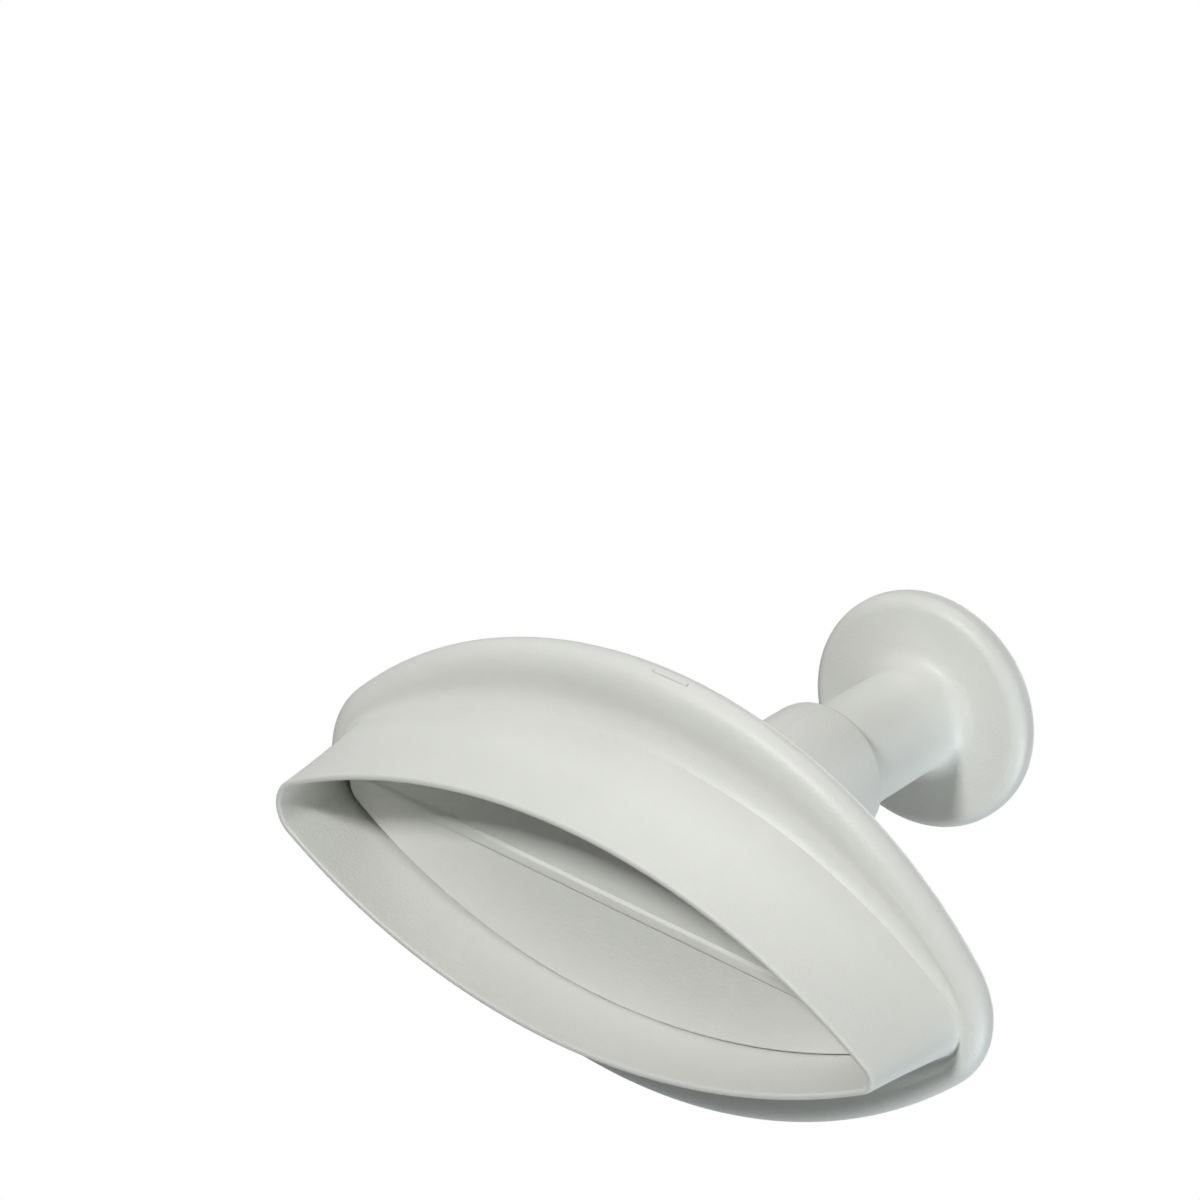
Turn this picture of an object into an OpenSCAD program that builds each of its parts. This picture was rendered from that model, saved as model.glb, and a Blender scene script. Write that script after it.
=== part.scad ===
// Leaf plunger cutter for rolled paste: a leaf-shaped cutting ring under a wide flange,
// a guide sleeve, a sprung plunger with a thumb knob, and an embossing plate with a centre vein.
// Millimetres. Stands on the cutting edge (z = 0), +Z to the knob, +X to the pointed tip.

/* [Cutting ring] */
// half width of the cutting edge
edge_b = 10.9; // [9:0.1:12]
// half length of the cutting edge, rounded end
edge_al = 32.5; // [30:0.1:33]
// half length of the cutting edge, pointed end
edge_ar = 33.5; // [31:0.1:34]
// width of the land on the cutting edge
land = 0.6; // [0.4:0.05:0.8]
// height of the ring below the flange
ring_h = 11.2; // [10.5:0.1:13]

/* [Flange] */
// half length of the flange
flange_a = 36.6; // [36:0.1:40]
// half width of the flange
flange_b = 21; // [18:0.1:24]
// height of the deck's upper face
deck_top = 14.4; // [14.2:0.1:16]

/* [Sleeve] */
// outside radius of the guide sleeve
sleeve_r = 6.84; // [6.4:0.02:8]
// height of the sleeve's end
sleeve_top = 41.5; // [36:0.5:44]
// radial running clearance of stem and spigot
run_gap = 0.08; // [0.02:0.01:0.1]

/* [Plunger] */
// radius of the stem
stem_r = 5.5; // [5:0.05:5.6]
// radius of the thumb knob
knob_r = 12.27; // [10:0.1:14]
// underside of the knob
knob_z = 57.5; // [53:0.5:60]
// thickness of the knob
knob_t = 3.5; // [3.2:0.1:5]
// radius of the fillet between stem and knob
knob_fillet = 1.9; // [1:0.1:3]
// radius of the spigot that carries the plate
spigot_r = 3; // [2.6:0.05:3.1]

/* [Embossing plate] */
// height of the plate's face above the cutting edge
plate_z = 7.9; // [7:0.1:8.2]
// thickness of the plate
plate_t = 2.6; // [2.2:0.1:2.6]
// clearance between plate and ring
plate_gap = 0.3; // [0.2:0.05:0.5]
// how much shorter the plate is at the rounded end
plate_short = 1.3; // [0:0.1:2]
// height of the vein rib
vein_h = 0.3; // [0.2:0.1:0.8]

/* [Spring] */
// wire radius
wire_r = 0.4; // [0.3:0.05:0.45]
// number of turns
turns = 8; // [6:1:9]

/* [Hidden] */
$fn = 96;
stop_z = plate_z + plate_t + 0.3;
roof_z = 12.6;
bore_r = stem_r + run_gap;
shoulder_z = 33;
spring_r = (spigot_r + bore_r) / 2;

// half of a leaf outline: two large arcs that run into a small tip arc
module half_leaf(a, b, r) {
    c = (pow(a - r, 2) - pow(b - r, 2)) / (2 * (b - r));
    phi = atan2(c, a - r);
    xj = (a - r) + r * cos(phi);
    intersection() {
        translate([0, -c]) circle(r = b + c, $fn = 360);
        translate([0, c]) circle(r = b + c, $fn = 360);
        translate([-0.01, -b - 1]) square([xj + 0.01, 2 * b + 2]);
    }
    translate([a - r, 0]) circle(r = r, $fn = 48);
}

module leaf(al, rl, ar, rr, b) {
    half_leaf(ar, b, rr);
    mirror([1, 0]) half_leaf(al, b, rl);
}

module leaf_slice(z, al, rl, ar, rr, b) {
    translate([0, 0, z]) linear_extrude(0.01) leaf(al, rl, ar, rr, b);
}

module flange_slice(z, i) {
    leaf_slice(z, flange_a - i, 9.3 - i, flange_a - i, 8.5 - i, flange_b - i);
}

// inside of the cutting ring, grown by g (negative: smaller)
module inner_leaf(g) {
    leaf(edge_al - land + g, 2.6 + g, edge_ar - land + g, 1.0 + g, edge_b - land + g);
}

// face of the embossing plate: follows the ring, but stops short of the rounded end
module plate_leaf() {
    g = -plate_gap;
    leaf(edge_al - land + g - plate_short, 2.4 + g, edge_ar - land + g, 1.0 + g, edge_b - land + g);
}

module cutter_body() color([0.9, 0.9, 0.89]) difference() {
    union() {
        // flared outer wall of the cutting ring
        hull() {
            leaf_slice(0, edge_al, 3.2, edge_ar, 1.5, edge_b);
            leaf_slice(ring_h * 0.62, edge_al + 0.85, 3.9, edge_ar + 0.6, 2.2, edge_b + 1.45);
            leaf_slice(ring_h, 34.2, 5.1, 34.7, 3.2, 13.7);
        }
        // flange with a rounded rim
        difference() {
            hull() {
                flange_slice(11.3, 1.9);
                flange_slice(11.5, 1.1);
                flange_slice(12.0, 0.45);
                flange_slice(12.6, 0.1);
                flange_slice(13.2, 0);
                flange_slice(13.7, 0.15);
                flange_slice(14.1, 0.5);
                flange_slice(deck_top - 0.01, 1.2);
            }
            // shallow trough between ring and rim on the underside
            difference() {
                translate([0, 0, 10]) linear_extrude(2)
                    leaf(flange_a - 2.6, 6.7, flange_a - 2.6, 5.9, flange_b - 2.6);
                translate([0, 0, 9]) linear_extrude(4) leaf(33.3, 5.0, 33.4, 3.2, 14.4);
            }
        }
        // ring root under the flange
        translate([0, 0, ring_h - 0.2]) linear_extrude(1.4) leaf(33.9, 5.0, 34.3, 3.2, 13.5);
        // guide sleeve with a rounded end
        translate([0, 0, 13]) cylinder(r = sleeve_r, h = sleeve_top - 13.4);
        translate([0, 0, sleeve_top - 0.4]) cylinder(r1 = sleeve_r, r2 = sleeve_r - 0.3, h = 0.4);
    }
    // inside of the ring, up to the roof, round the boss that stops the plate
    difference() {
        translate([0, 0, -1]) linear_extrude(roof_z + 1) inner_leaf(0);
        translate([0, 0, stop_z]) cylinder(r = 6, h = 5);
    }
    // sleeve bore, down to the deck
    translate([0, 0, deck_top]) cylinder(r = bore_r, h = 40);
    // hole for the spigot
    translate([0, 0, 5]) cylinder(r = spigot_r + run_gap, h = 20);
}

module plunger_profile() {
    z1 = knob_z + knob_t;
    difference() {
        union() {
            square_at(0, knob_z, knob_r - 1.5, z1);
            square_at(0, knob_z + 1.5, knob_r, z1 - 1.5);
            translate([knob_r - 1.5, knob_z + 1.5]) circle(r = 1.5, $fn = 48);
            translate([knob_r - 1.5, z1 - 1.5]) circle(r = 1.5, $fn = 48);
            square_at(0, shoulder_z, stem_r, knob_z + 1);
            square_at(0, plate_z + 1.1, spigot_r, shoulder_z + 1);
            // concave fillet between stem and knob
            difference() {
                square_at(stem_r - 0.1, knob_z - knob_fillet, stem_r + knob_fillet, knob_z + 0.1);
                translate([stem_r + knob_fillet, knob_z - knob_fillet]) circle(r = knob_fillet, $fn = 96);
            }
        }
        // shallow dish for the thumb
        translate([0, z1 + 39.2]) circle(r = 40, $fn = 360);
        translate([-60, 0]) square([60, 120]);
    }
}

module square_at(x0, y0, x1, y1) {
    translate([x0, y0]) square([x1 - x0, y1 - y0]);
}

module plunger() color([0.9, 0.9, 0.89]) rotate_extrude($fn = 128) plunger_profile();

module embossing_plate() color([0.9, 0.9, 0.89]) difference() {
    union() {
        translate([0, 0, plate_z]) linear_extrude(plate_t) plate_leaf();
        // centre vein: a straight raised rib with sloping sides
        intersection() {
            translate([0, 0, plate_z - 2]) linear_extrude(3) plate_leaf();
            rotate([0, 0, 1]) translate([-40, 0, plate_z]) rotate([90, 0, 90]) linear_extrude(80)
                polygon([[-0.62, 0.1], [-0.62, 0], [-0.42, -vein_h], [0.42, -vein_h], [0.62, 0], [0.62, 0.1]]);
        }
    }
    // socket for the spigot
    translate([0, 0, plate_z + 1.1]) cylinder(r = spigot_r, h = 5);
}

// height of the wire's centre after t turns: one closed turn at each end
function coil_z(t, h) = let (p = 2 * wire_r + 0.06)
    t < 1 ? p * t : t > turns - 1 ? h - p * (turns - t) : p + (h - 2 * p) * (t - 1) / (turns - 2);

module return_spring() color([0.7, 0.7, 0.72]) {
    m = 8;
    steps = turns * 20;
    z0 = deck_top + wire_r + 0.02;
    h = shoulder_z - wire_r - 0.02 - z0;
    pts = [for (i = [0:steps]) let (t = i / 20, a = 360 * t, z = z0 + coil_z(t, h))
        for (j = [0:m - 1]) let (b = 360 * j / m, q = spring_r + wire_r * cos(b))
            [q * cos(a), q * sin(a), z + wire_r * sin(b)]];
    sides = [for (i = [0:steps - 1]) for (j = [0:m - 1]) let (k = (j + 1) % m)
        for (f = [[i * m + j, i * m + k, (i + 1) * m + k], [i * m + j, (i + 1) * m + k, (i + 1) * m + j]]) f];
    cap0 = [for (j = [m - 1:-1:0]) j];
    cap1 = [for (j = [0:m - 1]) steps * m + j];
    polyhedron(points = pts, faces = concat(sides, [cap0], [cap1]), convexity = 10);
}

cutter_body();
plunger();
embossing_plate();
return_spring();
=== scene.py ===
import math

import bpy
from mathutils import Matrix, Vector


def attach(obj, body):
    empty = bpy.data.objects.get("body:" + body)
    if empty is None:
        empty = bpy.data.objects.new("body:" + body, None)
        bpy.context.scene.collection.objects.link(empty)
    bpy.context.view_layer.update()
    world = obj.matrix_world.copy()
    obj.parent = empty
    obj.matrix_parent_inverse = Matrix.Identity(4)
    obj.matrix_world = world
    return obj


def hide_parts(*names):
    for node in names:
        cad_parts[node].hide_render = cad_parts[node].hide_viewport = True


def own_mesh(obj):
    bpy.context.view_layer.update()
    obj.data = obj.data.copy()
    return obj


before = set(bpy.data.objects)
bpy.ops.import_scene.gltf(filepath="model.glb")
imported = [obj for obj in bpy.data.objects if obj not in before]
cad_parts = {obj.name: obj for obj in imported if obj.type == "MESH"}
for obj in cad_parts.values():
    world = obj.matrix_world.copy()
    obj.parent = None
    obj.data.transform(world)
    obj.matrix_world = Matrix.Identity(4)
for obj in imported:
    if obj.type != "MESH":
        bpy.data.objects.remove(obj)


def write_size():
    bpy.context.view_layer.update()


write_size()

MM = 0.001

# ---------------------------------------------------------------- leaf outlines


def leaf_outline(al, rl, ar, rr, b, n_arc=96, n_tip=24):
    """Closed leaf outline, counter-clockwise from the +X tip, in mm: two large arcs that run into small tip arcs."""
    pts = []
    halves = []
    for a, r in ((ar, rr), (al, rl)):
        c = ((a - r) ** 2 - (b - r) ** 2) / (2 * (b - r))
        halves.append((a, r, c, b + c, math.atan2(c, a - r)))
    for q in range(4):
        a, r, c, big, phi = halves[0] if q in (0, 3) else halves[1]
        tip = [(a - r + r * math.cos(phi * i / n_tip), r * math.sin(phi * i / n_tip)) for i in range(n_tip)]
        arc = []
        for i in range(n_arc):
            t = phi + (math.pi / 2 - phi) * i / n_arc
            arc.append((big * math.cos(t), big * math.sin(t) - c))
        quarter = tip + arc
        top = (0.0, b)
        if q == 0:
            pts += quarter
        elif q == 1:
            pts += [(-x, y) for x, y in [top] + quarter[:0:-1]]
        elif q == 2:
            pts += [(-x, -y) for x, y in quarter]
        else:
            pts += [(x, -y) for x, y in [top] + quarter[:0:-1]]
    return pts


def ring_mesh(name, rings, cap_first=False, cap_last=False, close=False):
    """Mesh from closed rings with the same number of points, (x, y, z) in mm."""
    n = len(rings[0])
    verts = [(x * MM, y * MM, z * MM) for ring in rings for x, y, z in ring]
    faces = []
    m = len(rings)
    for k in range(m if close else m - 1):
        k2 = (k + 1) % m
        for i in range(n):
            j = (i + 1) % n
            faces.append((k * n + i, k * n + j, k2 * n + j, k2 * n + i))
    if cap_first:
        faces.append(tuple(range(n - 1, -1, -1)))
    if cap_last:
        faces.append(tuple((m - 1) * n + i for i in range(n)))
    me = bpy.data.meshes.new(name)
    me.from_pydata(verts, [], faces)
    me.update()
    ob = bpy.data.objects.new(name, me)
    bpy.context.scene.collection.objects.link(ob)
    for p in me.polygons:
        p.use_smooth = True
    return ob


# ---------------------------------------------------------------- materials


def plastic(name, seed):
    m = bpy.data.materials.new(name)
    m.use_nodes = True
    nt = m.node_tree
    b = nt.nodes["Principled BSDF"]
    co = nt.nodes.new("ShaderNodeTexCoord")
    big = nt.nodes.new("ShaderNodeTexNoise")
    big.inputs["Scale"].default_value = 60 + seed
    big.inputs["Detail"].default_value = 4
    fine = nt.nodes.new("ShaderNodeTexNoise")
    fine.inputs["Scale"].default_value = 3600
    fine.inputs["Detail"].default_value = 3
    rr = nt.nodes.new("ShaderNodeMapRange")
    rr.inputs["To Min"].default_value = 0.36
    rr.inputs["To Max"].default_value = 0.47
    col = nt.nodes.new("ShaderNodeValToRGB")
    col.color_ramp.elements[0].position = 0.3
    col.color_ramp.elements[0].color = (0.78, 0.79, 0.745, 1)
    col.color_ramp.elements[1].position = 0.7
    col.color_ramp.elements[1].color = (0.82, 0.83, 0.785, 1)
    bump = nt.nodes.new("ShaderNodeBump")
    bump.inputs["Strength"].default_value = 0.55
    bump.inputs["Distance"].default_value = 0.00009
    L = nt.links.new
    L(co.outputs["Object"], big.inputs["Vector"])
    L(co.outputs["Object"], fine.inputs["Vector"])
    L(big.outputs["Fac"], rr.inputs["Value"])
    L(rr.outputs["Result"], b.inputs["Roughness"])
    L(big.outputs["Fac"], col.inputs["Fac"])
    L(col.outputs["Color"], b.inputs["Base Color"])
    L(fine.outputs["Fac"], bump.inputs["Height"])
    L(bump.outputs["Normal"], b.inputs["Normal"])
    b.inputs["IOR"].default_value = 1.5
    return m


def steel(name):
    m = bpy.data.materials.new(name)
    m.use_nodes = True
    nt = m.node_tree
    b = nt.nodes["Principled BSDF"]
    b.inputs["Metallic"].default_value = 1.0
    b.inputs["Base Color"].default_value = (0.6, 0.6, 0.61, 1)
    co = nt.nodes.new("ShaderNodeTexCoord")
    no = nt.nodes.new("ShaderNodeTexNoise")
    no.inputs["Scale"].default_value = 900
    rr = nt.nodes.new("ShaderNodeMapRange")
    rr.inputs["To Min"].default_value = 0.25
    rr.inputs["To Max"].default_value = 0.42
    nt.links.new(co.outputs["Object"], no.inputs["Vector"])
    nt.links.new(no.outputs["Fac"], rr.inputs["Value"])
    nt.links.new(rr.outputs["Result"], b.inputs["Roughness"])
    return m


def put(ob, mat, slot):
    ob.data.materials.clear()
    ob.data.materials.append(mat)
    for p in ob.data.polygons:
        p.material_index = 0


MATS = {
    "cutter_body": (plastic("white_plastic_body", 0), "body"),
    "plunger": (plastic("white_plastic_plunger", 7), "plunger"),
    "embossing_plate": (plastic("white_plastic_plate", 13), "plate"),
    "return_spring": (steel("spring_wire"), "spring"),
}
for node, (mat, slot) in MATS.items():
    put(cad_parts[node], mat, slot)

# ---------------------------------------------------------------- smooth body of the cutter


def lerp(p, q, t):
    return tuple(a + (b - a) * t for a, b in zip(p, q))


EDGE = (32.5, 3.2, 33.5, 1.5, 10.9)
ROOT = (34.2, 5.1, 34.7, 3.2, 13.7)
RIM = (36.6, 9.3, 36.6, 8.5, 21.0)
INNER = (31.9, 2.6, 32.9, 1.0, 10.3)


def inset(p, i):
    return tuple(v - i for v in p)


def leaf_ring(p, z):
    return [(x, y, z) for x, y in leaf_outline(*p)]


def round_ring(r, z):
    base = leaf_outline(*EDGE)
    out = []
    for x, y in base:
        d = math.hypot(x, y)
        out.append((r * x / d, r * y / d, z))
    return out


rings = []
for k in range(9):  # rounded land of the cutting edge
    t = math.pi * k / 8
    rings.append(leaf_ring(lerp(INNER, EDGE, 0.5 - 0.5 * math.cos(t)), 0.22 - 0.22 * math.sin(t) ** 0.7))
for k in range(1, 15):
    t = k / 14
    rings.append(leaf_ring(lerp(EDGE, ROOT, 0.75 * t + 0.25 * t ** 2), 0.22 + 10.98 * t))
crest = (34.95, 7.6, 35.05, 6.85, 18.7)
a_pts = leaf_outline(*ROOT)
c_pts = leaf_outline(*crest)
wide = [min(1.0, math.hypot(c[0] - a[0], c[1] - a[1]) / 5.7) for a, c in zip(a_pts, c_pts)]
for k in range(1, 20):
    g = k / 20
    q = math.sin(math.pi * g ** 0.75)
    ring = []
    for (x, y), w in zip(leaf_outline(*lerp(ROOT, crest, g)), wide):
        ring.append((x, y, 11.2 + 0.1 * g + 0.85 * w * (q ** 1.1 if g < 0.397 else q ** 1.6)))
    rings.append(ring)
for k in range(13):  # rounded rim, lower quarter
    t = math.pi / 2 * k / 12
    rings.append(leaf_ring(lerp(crest, RIM, math.sin(t)), 13.15 - 1.85 * math.cos(t)))
for k in range(1, 9):  # upper quarter
    t = math.pi / 2 * k / 8
    rings.append(leaf_ring(inset(RIM, 1.2 * (1 - math.cos(t))), 13.15 + 1.25 * math.sin(t)))
rings.append(leaf_ring(inset(RIM, 1.8), 14.4))
for r, z in ((8.2, 14.4), (7.4, 14.5), (6.95, 14.85), (6.84, 15.4), (6.86, 22), (6.92, 32), (6.97, 40.9), (6.92, 41.2), (6.75, 41.4),
             (6.5, 41.5), (5.9, 41.5), (5.68, 41.42), (5.58, 41.2), (5.58, 28), (5.58, 14.4), (3.08, 14.4), (3.08, 10.8), (5.8, 10.8),
             (6.0, 11.0), (6.0, 12.6)):
    rings.append(round_ring(r, z))
for i, z in ((-1.1, 12.6), (-1.3, 12.4), (-1.3, 9.4), (-1.1, 9.2), (-0.12, 9.0), (0, 8.9), (0, 7), (0, 4), (0, 2), (0, 1), (0, 0.5)):
    rings.append(leaf_ring(inset(INNER, i), z))
body = ring_mesh("cutter_body_moulding", rings, close=True)
import bmesh

bm = bmesh.new()
bm.from_mesh(body.data)
bmesh.ops.recalc_face_normals(bm, faces=bm.faces)
bm.to_mesh(body.data)
bm.free()
body.data.set_sharp_from_angle(angle=math.radians(31))
put(body, MATS["cutter_body"][0], "body")
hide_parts("cutter_body")
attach(body, "cutter")


def solid(name, me_rings, node, body_name, closed=False, angle=38, caps=True):
    ob = ring_mesh(name, me_rings, cap_first=caps, cap_last=caps, close=closed)
    bm = bmesh.new()
    bm.from_mesh(ob.data)
    bmesh.ops.recalc_face_normals(bm, faces=bm.faces)
    bm.to_mesh(ob.data)
    bm.free()
    ob.data.set_sharp_from_angle(angle=math.radians(angle))
    put(ob, *MATS[node])
    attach(ob, body_name)
    return ob


# embossing plate: eased edge, close fit in the ring
PLATE = (30.45, 2.2, 32.74, 0.84, 10.14)
plate_rings = [leaf_ring(inset(PLATE, 0.7), 10.5), leaf_ring(PLATE, 8.7), leaf_ring(PLATE, 8.05)]
for k in range(1, 4):
    t = math.pi / 2 * k / 3
    plate_rings.append(leaf_ring(inset(PLATE, 0.15 * (1 - math.cos(t))), 8.05 - 0.15 * math.sin(t)))
plate = solid("embossing_plate_moulding", plate_rings, "embossing_plate", "press")
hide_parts("embossing_plate")

# centre vein: a narrow raised rib with rounded shoulders, from tip to tip
lean = math.radians(1.0)
vein_section = [(-0.66, 0.12), (-0.64, 0.0), (-0.58, -0.06), (-0.5, -0.22), (-0.44, -0.28), (-0.36, -0.3),
                (0.36, -0.3), (0.44, -0.28), (0.5, -0.22), (0.58, -0.06), (0.64, 0.0), (0.66, 0.12)]
vein_rings = []
for x in (-30.2, -30.0, -29.0, -15.0, 0.0, 15.0, 30.5, 31.8, 32.0):
    f = 0.6 if x in (-30.2, 32.0) else 1.0
    vein_rings.append([(x * math.cos(lean) - y * f * math.sin(lean), x * math.sin(lean) + y * f * math.cos(lean), 7.9 + z * f)
                       for y, z in vein_section])
vein = solid("embossing_plate_vein", vein_rings, "embossing_plate", "press", angle=50)


# plunger: knob, stem and spigot, turned about Z
def circle_ring(r, z, n=160):
    return [(r * math.cos(2 * math.pi * i / n), r * math.sin(2 * math.pi * i / n), z) for i in range(n)]


prof = [(0.02, 9.0), (2.7, 9.0), (3.0, 9.3), (3.0, 32.8), (3.2, 33.0), (5.2, 33.0), (5.5, 33.3), (5.5, 44.0), (5.46, 50.0)]
FR = 1.9
for k in range(13):  # fillet under the knob
    t = math.pi / 2 * k / 12
    prof.append((5.42 + FR * (1 - math.cos(t)), 57.45 - FR + FR * math.sin(t)))
prof += [(9.2, 57.46), (10.6, 57.5)]
for k in range(1, 13):  # rim
    t = math.pi / 2 * k / 12
    prof.append((10.77 + 1.5 * math.sin(t), 59.0 - 1.5 * math.cos(t)))
for k in range(0, 13):
    t = math.pi / 2 * k / 12
    prof.append((10.77 + 1.5 * math.cos(t), 59.5 + 1.5 * math.sin(t)))
prof += [(9.8, 61.0), (8.9, 60.98)]
for k in range(1, 9):  # thumb dish
    r = 8.6 * (1 - k / 8.2)
    prof.append((max(r, 0.02), 100.2 - math.sqrt(40.0 ** 2 - r * r)))
plunger = solid("plunger_moulding", [circle_ring(r, z) for r, z in prof], "plunger", "press", angle=45)
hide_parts("plunger")


def ridge(name, path, width, high):
    """A fine rounded ridge along a path of (point, outward normal, across) on the moulding, in mm."""
    rr = []
    for q, (p, n, a) in enumerate(path):
        f = 0.3 if q in (0, len(path) - 1) else 1.0
        sec = [(-0.5, -0.6), (-0.5, 0.0), (-0.32, 0.62), (0.0, 1.0), (0.32, 0.62), (0.5, 0.0), (0.5, -0.6)]
        rr.append([tuple(Vector(p) + Vector(a) * (u * width) + Vector(n) * (v * high * f)) for u, v in sec])
    return solid(name, rr, "cutter_body", "cutter", angle=80)


for sign, name in ((-1, "parting_line_front"), (1, "parting_line_back")):
    x0 = 0.5 * sign
    y0 = sign * math.sqrt(6.9 ** 2 - x0 * x0)
    nrm = Vector((x0, y0, 0)).normalized()
    acr = Vector((-nrm.y, nrm.x, 0))
    ridge(name, [((x0, y0, z), nrm, acr) for z in (15.5, 15.7, 28.0, 40.9, 41.2)], 0.3, 0.1)

# gate mark on the rim
gate_path = []
c_big = ((36.6 - 8.5) ** 2 - (21 - 8.5) ** 2) / (2 * (21 - 8.5))
for k in range(13):
    x = -0.6 + 3.8 * k / 12
    big = 21 + c_big
    y = -(math.sqrt(big * big - x * x) - c_big)
    th = math.radians(70)  # place on the rounded rim
    i_in = 2.3 * (1 - math.sin(th))
    n = Vector((x / big, -math.sin(th), -math.cos(th) * 1.24)).normalized()
    gate_path.append(((x, y + i_in, 13.15 - 1.85 * math.cos(th)), n, Vector((0, -n.z, n.y)).normalized()))
ridge("gate_mark", gate_path, 0.38, 0.17)

# ---------------------------------------------------------------- return spring


def coil(name, r, wire, z0, z1, turns, per=48, around=16):
    """A compression spring with one closed turn at each end, in mm."""
    p = 2 * wire + 0.06
    h = z1 - z0 - 2 * wire - 0.04
    verts, faces = [], []
    steps = turns * per
    for i in range(steps + 1):
        t = i / per
        if t < 1:
            z = p * t
        elif t > turns - 1:
            z = h - p * (turns - t)
        else:
            z = p + (h - 2 * p) * (t - 1) / (turns - 2)
        a = 2 * math.pi * t
        for j in range(around):
            b = 2 * math.pi * j / around
            q = r + wire * math.cos(b)
            verts.append((q * math.cos(a) * MM, q * math.sin(a) * MM, (z0 + wire + 0.02 + z + wire * math.sin(b)) * MM))
    for i in range(steps):
        for j in range(around):
            k = (j + 1) % around
            faces.append((i * around + j, i * around + k, (i + 1) * around + k, (i + 1) * around + j))
    faces.append(tuple(range(around - 1, -1, -1)))
    faces.append(tuple(steps * around + j for j in range(around)))
    me = bpy.data.meshes.new(name)
    me.from_pydata(verts, [], faces)
    me.update()
    for f in me.polygons:
        f.use_smooth = True
    me.set_sharp_from_angle(angle=math.radians(50))
    ob = bpy.data.objects.new(name, me)
    bpy.context.scene.collection.objects.link(ob)
    return ob


spring = coil("return_spring_wire", 4.29, 0.4, 14.4, 33.0, 8)
put(spring, MATS["return_spring"][0], "spring")
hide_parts("return_spring")
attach(spring, "cutter")
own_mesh(spring)

# ---------------------------------------------------------------- camera


def rotation(w):
    v = Vector(w)
    return Matrix.Rotation(v.length, 3, v.normalized())


K = 0.00065
R = rotation((0.4101317612, 0.6329885507, 0.2191210354))
T = Vector((-6.4046958184, 44.2883447894, 457.2233036798)) * K
F_PX = math.exp(8.1417616283)
eye = -(R.transposed() @ T)
right, down, ahead = R[0], R[1], R[2]
cam_data = bpy.data.cameras.new("camera")
cam = bpy.data.objects.new("camera", cam_data)
bpy.context.scene.collection.objects.link(cam)
mw = Matrix.Identity(4)
for i in range(3):
    mw[i][0] = right[i]
    mw[i][1] = -down[i]
    mw[i][2] = -ahead[i]
    mw[i][3] = eye[i]
cam.matrix_world = mw
cam_data.sensor_width = 36
cam_data.lens = F_PX / 1200 * 36
cam_data.clip_start = 0.01
cam_data.clip_end = 20
bpy.context.scene.camera = cam

# ---------------------------------------------------------------- floor, seen from above only


def floor_material():
    m = bpy.data.materials.new("pale_floor")
    m.use_nodes = True
    nt = m.node_tree
    nt.nodes.clear()
    out = nt.nodes.new("ShaderNodeOutputMaterial")
    dif = nt.nodes.new("ShaderNodeBsdfDiffuse")
    dif.inputs["Color"].default_value = (0.86, 0.86, 0.86, 1)
    tra = nt.nodes.new("ShaderNodeBsdfTransparent")
    geo = nt.nodes.new("ShaderNodeNewGeometry")
    mix = nt.nodes.new("ShaderNodeMixShader")
    nt.links.new(geo.outputs["Backfacing"], mix.inputs["Fac"])
    nt.links.new(dif.outputs["BSDF"], mix.inputs[1])
    nt.links.new(tra.outputs["BSDF"], mix.inputs[2])
    nt.links.new(mix.outputs["Shader"], out.inputs["Surface"])
    return m


me = bpy.data.meshes.new("floor")
s = 1.5
me.from_pydata([(-s, -s, -0.0002), (s, -s, -0.0002), (s, s, -0.0002), (-s, s, -0.0002)], [], [(0, 1, 2, 3)])
floor = bpy.data.objects.new("floor", me)
bpy.context.scene.collection.objects.link(floor)
floor.data.materials.append(floor_material())
floor.visible_shadow = False
floor.visible_diffuse = False
floor.visible_glossy = False
floor.visible_transmission = False

# ---------------------------------------------------------------- light


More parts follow.
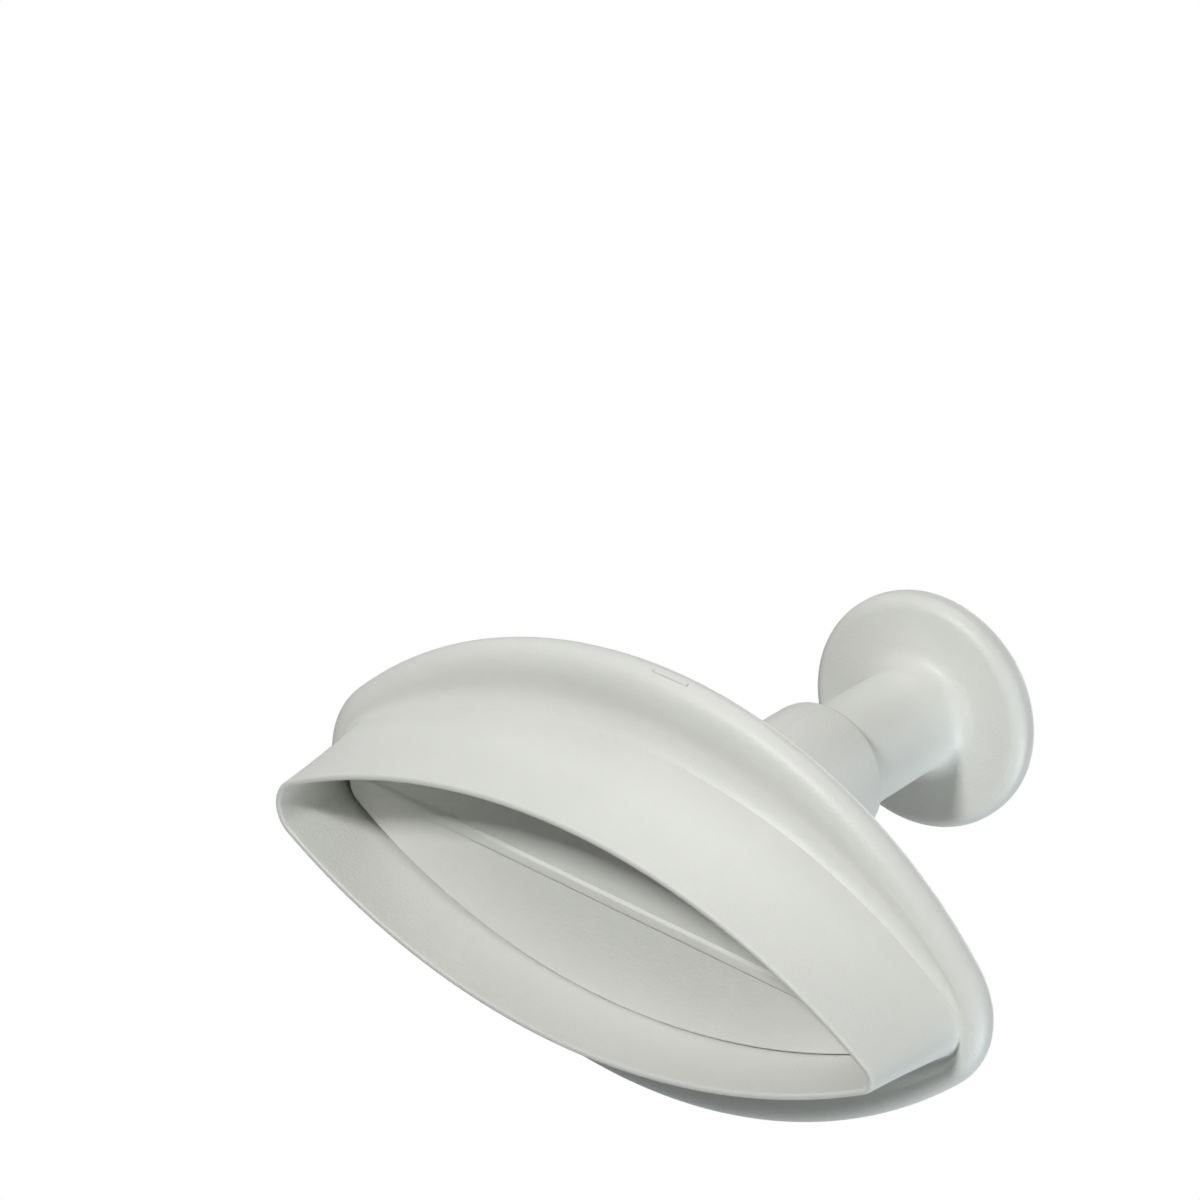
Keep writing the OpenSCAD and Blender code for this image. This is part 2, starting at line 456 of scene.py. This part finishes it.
def area(name, direction, dist, size, power):
    """An area light that shines along direction onto the object's middle."""
    d = Vector(direction).normalized()
    li = bpy.data.lights.new(name, "AREA")
    li.shape = "SQUARE"
    li.size = size
    li.energy = power
    ob = bpy.data.objects.new(name, li)
    ob.location = Vector((0, 0, 0.025)) - d * dist
    ob.rotation_euler = d.to_track_quat("-Z", "Y").to_euler()
    bpy.context.scene.collection.objects.link(ob)
    return ob


def tint(ob, rgb):
    ob.data.color = rgb
    return ob


area("key", (0.10, 0.95, 1.0), 0.7, 0.11, 3.0)
area("soft_top", (0.15, 1.0, 0.35), 0.7, 0.5, 0.15)
tint(area("cool_side", (-0.85, -0.5, 0.02), 0.6, 0.35, 2.4), (0.88, 0.945, 1.0))
area("rear_top", (0.1, 1.0, -0.3), 0.7, 0.4, 1.2)
area("right", (-1.0, 0.3, 0.15), 0.7, 0.4, 0.4)
area("low", (-0.2, -0.3, 1.0), 0.7, 0.5, 0.12)
area("fill_top", (0.05, -0.1, -1.0), 0.8, 0.6, 3.4)
area("high_left", (0.75, 0.25, -0.6), 0.8, 0.6, 0.5)
area("high_back", (0.1, -0.9, -0.5), 0.8, 0.6, 0.4)

world = bpy.data.worlds.new("studio")
world.use_nodes = True
nt = world.node_tree
nt.nodes.clear()
wo = nt.nodes.new("ShaderNodeOutputWorld")
lp = nt.nodes.new("ShaderNodeLightPath")
bg1 = nt.nodes.new("ShaderNodeBackground")
bg1.inputs["Color"].default_value = (1, 1, 1, 1)
bg1.inputs["Strength"].default_value = 0.085
bg2 = nt.nodes.new("ShaderNodeBackground")
bg2.inputs["Color"].default_value = (1, 1, 1, 1)
bg2.inputs["Strength"].default_value = 1.0
mx = nt.nodes.new("ShaderNodeMixShader")
nt.links.new(lp.outputs["Is Camera Ray"], mx.inputs["Fac"])
nt.links.new(bg1.outputs[0], mx.inputs[1])
nt.links.new(bg2.outputs[0], mx.inputs[2])
nt.links.new(mx.outputs[0], wo.inputs["Surface"])
bpy.context.scene.world = world
bpy.context.scene.view_settings.view_transform = "Standard"
bpy.context.scene.view_settings.exposure = 0.0

write_size()
